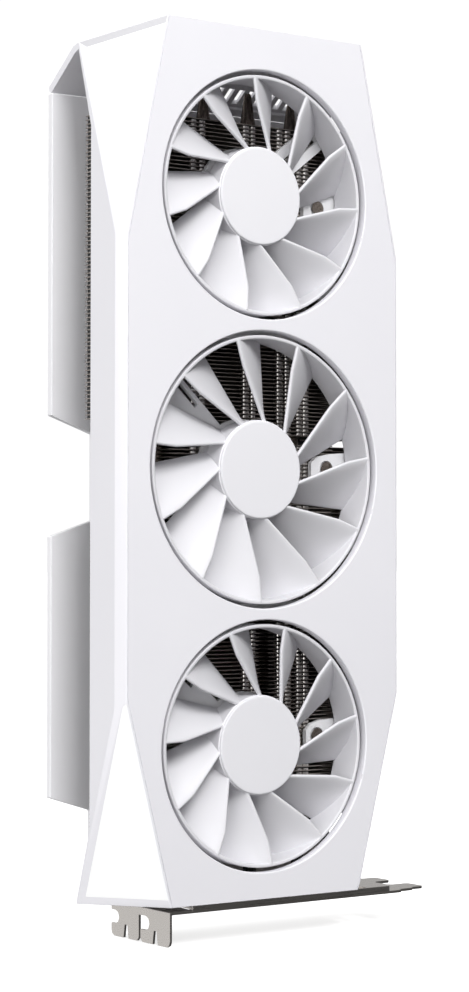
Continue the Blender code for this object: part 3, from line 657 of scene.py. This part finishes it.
def blade(fx, fz, r_tip, phase, nr=20, nc=14):
    r_in, r_out, kink = HUB_R - 0.6, r_tip + 0.5, 0.82 * r_tip
    st = [0.82 * i / (nr - 4) for i in range(nr - 3)] + [0.88, 0.94, 1.0]
    g = np.zeros((len(st), nc + 1, 3))
    for i, t in enumerate(st):
        if t <= 0.82:
            lx, lz = polar_line((r_in, -22.8), (kink, -1.2), t / 0.82)
        else:
            lx, lz = polar_line((kink, -1.2), (r_out, 0.1), (t - 0.82) / 0.18)
        tx, tz = polar_line((r_in, -43.5), (r_out, -22.3), t)
        r0, r1 = math.hypot(lx, lz), math.hypot(tx, tz)
        a0, a1 = math.atan2(lz, lx), math.atan2(tz, tx)
        y0, y1 = 5.1 - 3.3 * t, 14.1 + 0.5 * t
        for k in range(nc + 1):
            s = k / nc
            a = math.radians(phase) + a0 + (a1 - a0) * s
            rr = r0 + (r1 - r0) * s
            g[i, k] = (fx + rr * math.cos(a), y0 + (y1 - y0) * s ** 1.18, fz + rr * math.sin(a))
    du, dv = np.gradient(g, axis=0), np.gradient(g, axis=1)
    n = np.cross(du, dv)
    n /= np.linalg.norm(n, axis=2, keepdims=True)
    if n[..., 1].mean() < 0:
        n = -n
    dv /= np.linalg.norm(dv, axis=2, keepdims=True)
    loops = []
    for i in range(len(st)):
        th = [1.3 - 0.2 * min(1.0, k / nc * 3.0) + 0.1 * math.sin(math.pi * k / nc) - 0.25 * (k / nc) ** 2 for k in range(nc + 1)]
        loop = [g[i, k] - n[i, k] * th[k] / 2 for k in range(nc + 1)]
        for a in (30, 60, 90, 120, 150):
            c, s = math.cos(math.radians(a)), math.sin(math.radians(a))
            loop.append(g[i, nc] + th[nc] / 2 * (-n[i, nc] * c + dv[i, nc] * s))
        loop += [g[i, k] + n[i, k] * th[k] / 2 for k in range(nc, -1, -1)]
        for a in (30, 60, 90, 120, 150):
            c, s = math.cos(math.radians(a)), math.sin(math.radians(a))
            loop.append(g[i, 0] + th[0] / 2 * (n[i, 0] * c - dv[i, 0] * s))
        loops.append(loop)
    m = len(loops[0])
    verts = [p for lp in loops for p in lp]
    faces = [tuple(range(m))[::-1], tuple((len(loops) - 1) * m + j for j in range(m))]
    for i in range(len(loops) - 1):
        for j in range(m):
            k = (j + 1) % m
            faces.append((i * m + j, i * m + k, (i + 1) * m + k, (i + 1) * m + j))
    ob = from_lists(verts, faces)
    bm = bmesh.new()
    bm.from_mesh(ob.data)
    bmesh.ops.recalc_face_normals(bm, faces=bm.faces)
    bm.to_mesh(ob.data)
    bm.free()
    return ob


for key, (fx, fz, r_cad) in FANS.items():
    ro = r_cad - 0.5
    ri = ro - 1.35
    hub = revolve([(0, HUB_FRONT), (HUB_R - 0.9, HUB_FRONT)] + arc(HUB_R - 0.5, HUB_FRONT + 0.5, 0.5, -78, 0, 5)
                  + [(HUB_R + 0.02, HUB_FRONT + 1.0), (HUB_R + 0.35, HUB_FRONT + 1.15), (HUB_R + 0.55, HUB_BACK), (HUB_R - 0.9, HUB_BACK), (HUB_R - 1.5, HUB_FRONT + 1.7), (0, HUB_FRONT + 1.7)], fx, fz, 96, True)
    ring = revolve([(ri + 0.35, 1.4)] + arc(ro - 0.4, 1.8, 0.4, -90, 0, 4) + [(ro, 15.0), (ri, 15.0)] + arc(ri + 0.4, 1.8, 0.4, 180, 262, 4), fx, fz, 144)
    wheel = joined([blade(fx, fz, ri, PHASE[key] + 360.0 / BLADES * i) for i in range(BLADES)])
    union(wheel, hub, ring)
    settle("fan_wheel_" + key, wheel, M_FAN, body="rotor_" + key, replaces=["impeller_" + key], sharp=40.0)
    wheel.data.materials.append(M_HUB)
    for p in wheel.data.polygons:
        pc = card(p.center)
        if math.hypot(pc[0] - fx, pc[2] - fz) < HUB_R + 0.4 and pc[1] < HUB_FRONT + 1.2:
            p.material_index = 1

# ---- heatsink fins -------------------------------------------------------------------------
PITCH, THICK = 1.475, 0.34
FRONT_X = 44.0


def fin_outline(x0, x1, notch):
    y_f, y_b, y_d = 18.5, 36.2, 39.4
    pts = [(x0, y_f)]
    for a, b, y in notch:
        pts += [(a, y_f), (a + 0.4, y), (b - 0.4, y), (b, y_f)]
    if x1 > 50:
        pts += [(FRONT_X, y_f), (FRONT_X, 26.8), (x1, 26.8), (x1, y_d), (FRONT_X, y_d), (FRONT_X, y_b), (-30.5, y_b)]
    else:
        pts += [(x1, y_f), (x1, y_b), (-30.5, y_b)]
    if x0 < -40:
        pts += [(-31.2, y_d), (x0, y_d)]
    else:
        pts += [(x0, y_b)]
    return pts


def fin_stack(x0, x1, z0, z1, notch, skip=None):
    verts, faces = [], []
    y_rear = 39.4
    base = fin_outline(x0, x1, notch)
    n = int((z1 - z0 - THICK) / PITCH) + 1
    first = z0 + ((z1 - z0 - THICK) - (n - 1) * PITCH) / 2
    for i in range(n):
        z = first + i * PITCH
        pts = base if skip is None else skip(z, base)
        o = len(verts)
        m = len(pts)
        verts += [(x, y, z) for x, y in pts] + [(x, y, z + THICK) for x, y in pts]
        faces.append(tuple(o + j for j in range(m))[::-1])
        faces.append(tuple(o + m + j for j in range(m)))
        for j in range(m):
            k = (j + 1) % m
            faces.append((o + j, o + k, o + m + k, o + m + j))
    if x1 > 50:
        # folded flanges close the stack behind and at its right-hand end
        for xa, xb, ya, yb in ((FRONT_X + 0.2, x1 - 0.02, y_rear + 0.04, y_rear + 0.36), (x1 + 0.04, x1 + 0.36, 26.8, y_rear + 0.36)):
            o = len(verts)
            verts += [(xa, ya, z0), (xb, ya, z0), (xb, yb, z0), (xa, yb, z0), (xa, ya, z1), (xb, ya, z1), (xb, yb, z1), (xa, yb, z1)]
            faces += [(o, o + 3, o + 2, o + 1), (o + 4, o + 5, o + 6, o + 7), (o, o + 1, o + 5, o + 4), (o + 1, o + 2, o + 6, o + 5), (o + 2, o + 3, o + 7, o + 6), (o + 3, o, o + 4, o + 7)]
    ob = from_lists(verts, faces)
    bm = bmesh.new()
    bm.from_mesh(ob.data)
    bmesh.ops.recalc_face_normals(bm, faces=bm.faces)
    bm.to_mesh(ob.data)
    bm.free()
    return ob


def fin_locks(z0, z1, tabs):
    """Folded lock tabs that hold neighbouring fins apart, one row per column."""
    verts, faces = [], []
    n = int((z1 - z0 - THICK) / PITCH) + 1
    first = z0 + ((z1 - z0 - THICK) - (n - 1) * PITCH) / 2
    for i in range(n - 1):
        z = first + i * PITCH + THICK
        for xc, r in tabs:
            o = len(verts)
            arcp = [(xc + r * math.cos(math.radians(a)), 19.0 - 0.75 * math.sin(math.radians(a))) for a in range(0, 181, 20)] + [(xc - r, 20.6), (xc + r, 20.6)]
            m = len(arcp)
            verts += [(x, y, z + 0.02) for x, y in arcp] + [(x, y, z + 0.72) for x, y in arcp]
            faces.append(tuple(o + j for j in range(m))[::-1])
            faces.append(tuple(o + m + j for j in range(m)))
            for j in range(m):
                k = (j + 1) % m
                faces.append((o + j, o + k, o + m + k, o + m + j))
    return to_object(bm_of(verts, faces))


TABS = [(3.9, 1.4), (7.2, 1.1), (19.4, 1.4), (23.2, 1.4), (28.4, 1.3), (31.6, 1.4), (-19.6, 1.3), (-15.7, 1.4), (-42.0, 1.4)]
NOTCH = [(9.5, 14.0, 25.5)]


def socket_gap(z, pts):
    if z > 172.4:
        return pts
    return [p if not (p[0] < -32.9 and p[1] > 29.0) else (p[0], 29.0) for p in pts]


lo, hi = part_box("fins_low")
a, b = card(lo), card(hi)
settle("fin_stack_low", fin_stack(a[0] - 0.8, b[0], a[2], b[2], NOTCH), M_FINS, replaces=["fins_low"], sharp=20.0)
lo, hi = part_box("fins_mid")
a, b = card(lo), card(hi)
settle("fin_stack_mid", fin_stack(a[0] + 2.6, b[0], a[2], b[2], NOTCH), M_FINS, replaces=["fins_mid"], sharp=20.0)
lo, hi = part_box("fins_top")
a, b = card(lo), card(hi)
settle("fin_stack_top", fin_stack(a[0] - 1.5, b[0], a[2], b[2], [], socket_gap), M_FINS, replaces=["fins_top"], sharp=20.0)
# dark sheets just inside the open fin ends, painted shade so the gaps between the fins look dark
for key, out, z_from in (("low", 0.8, 0.5), ("top", 1.5, 5.2)):
    lo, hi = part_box("fins_" + key)
    a, b = card(lo), card(hi)
    x = a[0] - out + 0.75
    settle("fin_gap_painted_shade_" + key, block(x, x + 0.3, 24.0, 39.1, a[2] + z_from, b[2] - 0.5, 0.05, 1), M_CHIP, sharp=30.0)
for key in ("low", "mid", "top"):
    lo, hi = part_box("fins_" + key)
    a, b = card(lo), card(hi)
    settle("fin_locks_" + key, fin_locks(a[2], b[2], [t for t in TABS if key != "mid" or t[0] > -30]), M_LOCK_PAINTED_HIGHLIGHT, sharp=30.0)

# ---- heat pipes -----------------------------------------------------------------------------
for i in range(4):
    lo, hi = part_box("heat_pipe_%d" % (i + 1))
    a, b = card(lo), card(hi)
    x, y, r = (a[0] + b[0]) / 2, (a[1] + b[1]) / 2, (b[0] - a[0]) / 2
    prof = [(0.0, b[2]), (1.0, b[2] - 0.08), (1.3, b[2] - 0.6), (1.6, b[2] - 2.2), (r - 0.5, b[2] - 9.0), (r - 0.1, b[2] - 11.5), (r, b[2] - 13.0), (r, a[2] + 5.0),
            (r - 0.3, a[2] + 3.6), (1.5, a[2] + 0.9), (1.0, a[2] + 0.2), (0.0, a[2])]
    bm = bmesh.new()
    rings, n = [], 28
    for rr, z in prof:
        rings.append([bm.verts.new((x, y, z))] if rr < 1e-6 else [bm.verts.new((x + rr * math.cos(2 * math.pi * j / n), y + rr * math.sin(2 * math.pi * j / n), z)) for j in range(n)])
    for k in range(len(rings) - 1):
        p, q = rings[k], rings[k + 1]
        for j in range(n):
            jj = (j + 1) % n
            if len(p) == 1:
                bm.faces.new((p[0], q[j], q[jj]))
            elif len(q) == 1:
                bm.faces.new((p[j], q[0], p[jj]))
            else:
                bm.faces.new((p[j], q[j], q[jj], p[jj]))
    settle("heat_pipe_tube_%d" % (i + 1), to_object(bm), M_PIPE, replaces=["heat_pipe_%d" % (i + 1)], sharp=50.0)

# ---- edge connector contacts, small board parts, socket tongues and pins --------------------------
lo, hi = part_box("circuit_board")
pa, pb = card(lo), card(hi)
contacts = []
z_a = 40.5
for z0, n in ((z_a + 1.25, 10), (z_a + 14.3, 69)):
    for k in range(n):
        z = z0 + k * 1.0
        for y0, y1 in ((pa[1] - 0.04, pa[1] + 0.02), (pb[1] - 0.02, pb[1] + 0.04)):
            contacts.append((66.4 if k % 7 else 67.2, 70.9, y0, y1, z, z + 0.68))
verts, faces = [], []
for x0, x1, y0, y1, z0, z1 in contacts:
    o = len(verts)
    verts += [(x0, y0, z0), (x1, y0, z0), (x1, y1, z0), (x0, y1, z0), (x0, y0, z1), (x1, y0, z1), (x1, y1, z1), (x0, y1, z1)]
    faces += [(o, o + 3, o + 2, o + 1), (o + 4, o + 5, o + 6, o + 7), (o, o + 1, o + 5, o + 4), (o + 1, o + 2, o + 6, o + 5), (o + 2, o + 3, o + 7, o + 6), (o + 3, o, o + 4, o + 7)]
settle("edge_contacts", from_lists(verts, faces), M_GOLD)

parts = []
for k in range(150):
    w, l, h = random.choice(((0.8, 1.6, 0.7), (1.2, 2.0, 0.9), (0.5, 1.0, 0.45), (1.6, 3.2, 1.2)))
    if random.random() < 0.5:
        w, l = l, w
    x, z = random.uniform(46.0, 58.5), random.uniform(6.0, 206.0)
    front = random.random() < 0.7
    y0 = pa[1] - h if front else pb[1]
    parts.append(block(x, x + w, y0, y0 + h, z, z + l, 0.08, 1))
settle("board_small_parts", joined(parts), M_CERAMIC)

tongues = []
for i in range(4):
    lo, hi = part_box("video_socket_%d" % (i + 1))
    a, b = card(lo), card(hi)
    tongues.append(block(a[0] + 2.2, b[0] - 2.2, (a[1] + b[1]) / 2 - 0.35, (a[1] + b[1]) / 2 + 0.35, a[2] + 1.6, a[2] + 12.0, 0.15, 2))
    tongues.append(block(a[0] + 0.55, b[0] - 0.55, a[1] + 0.55, b[1] - 0.55, a[2] + 9.6, a[2] + 11.4, 0.1, 1))
settle("socket_tongues", joined(tongues), M_NYLON)
pins = []
for i in range(2):
    lo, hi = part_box("power_socket_%d" % (i + 1))
    a, b = card(lo), card(hi)
    for p in range(4):
        for q in range(2):
            pins.append(block(a[0] + 1.5, a[0] + 9.6, a[1] + 3.1 + 5.0 * q, a[1] + 4.1 + 5.0 * q, a[2] + 2.5 + 4.2 * p, a[2] + 3.5 + 4.2 * p, 0.2, 2))
settle("power_pins", joined(pins), M_GOLD)

# ---- screws with a crossed recess ---------------------------------------------------------------


def crosshead(x, z, y_face, r, depth, front, head):
    """Pan head at y_face, looking to -Y when front is true."""
    s = -1.0 if front else 1.0
    prof = [(0.0, y_face), (r * 0.55, y_face), (r * 0.8, y_face - s * head * 0.18), (r * 0.95, y_face - s * head * 0.45), (r, y_face - s * head), (r * 0.48, y_face - s * head), (r * 0.48, y_face - s * depth), (0.0, y_face - s * depth)]
    ob = revolve(prof, x, z, 32, True)
    w, l = r * 0.13, r * 0.62
    arms = []
    for a in (0, 90):
        c, q = math.cos(math.radians(a + 20)), math.sin(math.radians(a + 20))
        pts = [(x + u * c - v * q, z + u * q + v * c) for u, v in ((-l, -w), (l, -w), (l, w), (-l, w))]
        arms.append(prism("Y", pts, min(y_face + s * 0.5, y_face - s * head * 0.75), max(y_face + s * 0.5, y_face - s * head * 0.75)))
    cut(ob, arms[0], arms[1])
    return ob


for key in FANS:
    lo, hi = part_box("fan_screw_" + key)
    a, b = card(lo), card(hi)
    ob = crosshead((a[0] + b[0]) / 2, (a[2] + b[2]) / 2, a[1], (b[0] - a[0]) / 2, b[1] - a[1], True, 15.7 - a[1])
    settle("lug_screw_" + key, ob, M_SCREW, replaces=["fan_screw_" + key], sharp=40.0)
for i in range(4):
    lo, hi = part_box("plate_screw_%d" % (i + 1))
    a, b = card(lo), card(hi)
    ob = crosshead((a[0] + b[0]) / 2, (a[2] + b[2]) / 2, b[1], (b[0] - a[0]) / 2, b[1] - a[1], False, 1.2)
    settle("backplate_screw_%d" % (i + 1), ob, M_SCREW, replaces=["plate_screw_%d" % (i + 1)], sharp=40.0)

# ---- CAD nodes that stay, with rounded edges and finishes ------------------------------------------
KEEP = {
    "fan_frame": (M_FRAME, 0.35), "backplate": (M_PAINT, 0.35), "io_bracket": (M_STEEL, 0.16), "circuit_board": (M_BOARD, 0.0),
    "gpu_package": (M_BOARD, 0.1), "gpu_die": (M_DIE, 0.05), "cold_plate": (M_PIPE, 0.3), "spring_plate": (M_STEEL, 0.12),
    "motor_base": (M_FRAME, 0.25), "rotor_magnet": (M_FERRITE, 0.1), "shaft": (M_STEEL, 0.1), "stator": (M_COPPER, 0.2), "spring_screw": (M_SCREW, 0.12),
    "memory": (M_CHIP, 0.12), "choke": (M_FERRITE, 0.35), "power_socket": (M_NYLON, 0.15), "video_socket": (M_STEEL, 0.1),
    "shroud": (M_SHROUD, 0.0), "impeller": (M_FAN, 0.0), "heat_pipe": (M_PIPE, 0.0), "fins": (M_FINS, 0.0), "fan_screw": (M_SCREW, 0.0), "plate_screw": (M_SCREW, 0.0),
}
for name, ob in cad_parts.items():
    key = max((k for k in KEEP if name.startswith(k)), key=len)
    mat, r = KEEP[key]
    for sl in ob.material_slots:
        sl.material = mat
    if ob.hide_render or r <= 0:
        continue
    w = ob.modifiers.new("weld", "WELD")
    w.merge_threshold = 1e-6
    bv = ob.modifiers.new("round", "BEVEL")
    bv.width = r * MM
    bv.segments = 2
    bv.limit_method = "ANGLE"
    bv.angle_limit = math.radians(40)
    bv.harden_normals = False

# ---- floor, light, camera --------------------------------------------------------------------------
lo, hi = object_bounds()
bm = bmesh.new()
bmesh.ops.create_grid(bm, x_segments=2, y_segments=2, size=30.0)
floor = to_object(bm, "studio_floor")
floor.location = (0.0, 0.0, lo.z - 0.0002)
ff = Finish("studio_floor_paint", rough=0.9)
ff.colour(ff.ramp(ff.noise(3.0, 2.0), [(0.3, (0.93, 0.93, 0.93)), (0.7, (0.95, 0.95, 0.95))]))
ff.roughness(ff.noise(40.0, 2.0), 0.85, 0.95)
ff.b.inputs["Specular IOR Level"].default_value = 0.0
ff.b.inputs["Emission Color"].default_value = (1.0, 1.0, 1.0, 1.0)
ff.b.inputs["Emission Strength"].default_value = 0.68
floor.data.materials.append(ff.m)
floor.visible_diffuse = False
floor.visible_glossy = False
floor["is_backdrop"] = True

world = bpy.data.worlds.new("studio")
bpy.context.scene.world = world
world.use_nodes = True
wn = world.node_tree
soft = wn.nodes["Background"]
soft.inputs["Color"].default_value = (1.0, 1.0, 1.0, 1.0)
wtc = wn.nodes.new("ShaderNodeTexCoord")
dot = wn.nodes.new("ShaderNodeVectorMath")
dot.operation = "DOT_PRODUCT"
dot.inputs[1].default_value = tuple(Vector((-0.62, 0.38, 0.50)).normalized())
wn.links.new(wtc.outputs["Generated"], dot.inputs[0])
grade = wn.nodes.new("ShaderNodeMapRange")
grade.interpolation_type = "SMOOTHSTEP"
for k, v in (("From Min", -1.0), ("From Max", 1.0), ("To Min", 0.06), ("To Max", 0.92)):
    grade.inputs[k].default_value = v
wn.links.new(dot.outputs["Value"], grade.inputs["Value"])
wn.links.new(grade.outputs["Result"], soft.inputs["Strength"])
bright = wn.nodes.new("ShaderNodeBackground")
bright.inputs["Color"].default_value = (1.0, 1.0, 1.0, 1.0)
bright.inputs["Strength"].default_value = 1.05
lp = wn.nodes.new("ShaderNodeLightPath")
mx = wn.nodes.new("ShaderNodeMixShader")
wn.links.new(lp.outputs["Is Camera Ray"], mx.inputs["Fac"])
wn.links.new(soft.outputs["Background"], mx.inputs[1])
wn.links.new(bright.outputs["Background"], mx.inputs[2])
wn.links.new(mx.outputs["Shader"], wn.nodes["World Output"].inputs["Surface"])

CENTRE = (lo + hi) / 2


def area(name, towards, dist, size, level, target=CENTRE):
    """Soft box seen from target in direction towards; level is the light it lays on a face turned to it."""
    d = bpy.data.lights.new(name, "AREA")
    d.shape = "RECTANGLE"
    d.size, d.size_y = size
    d.energy = level * math.pi ** 2 * dist ** 2
    o = bpy.data.objects.new(name, d)
    bpy.context.scene.collection.objects.link(o)
    o.location = Vector(target) + Vector(towards).normalized() * dist
    o.rotation_mode = "QUATERNION"
    o.rotation_quaternion = (Vector(target) - o.location).to_track_quat("-Z", "Y")
    return o


area("key", (-0.15, -0.70, 0.58), 1.6, (0.7, 0.7), 0.74)
area("fill", (-0.80, -0.60, -0.15), 1.6, (0.9, 0.9), 0.32)

cam = bpy.data.cameras.new("camera")
camo = bpy.data.objects.new("camera", cam)
bpy.context.scene.collection.objects.link(camo)
camo.location = (-0.519948, -0.744485, 0.125068)
camo.rotation_mode = "QUATERNION"
camo.rotation_quaternion = Vector((0.58316, 0.81159, 0.03530)).to_track_quat("-Z", "Y")
F_PX, CX, CY, W_PX, H_PX = 2443.153, 256.646, 476.367, 469.0, 992.0
cam.sensor_fit = "AUTO"
cam.sensor_width = 36.0
cam.lens = F_PX * 36.0 / H_PX
cam.shift_x = (W_PX / 2 - CX) / H_PX
cam.shift_y = (CY - H_PX / 2) / H_PX
cam.clip_start, cam.clip_end = 0.05, 100.0
bpy.context.scene.camera = camo
bpy.context.scene.view_settings.view_transform = "Standard"
bpy.context.scene.view_settings.look = "None"

lo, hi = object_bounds()
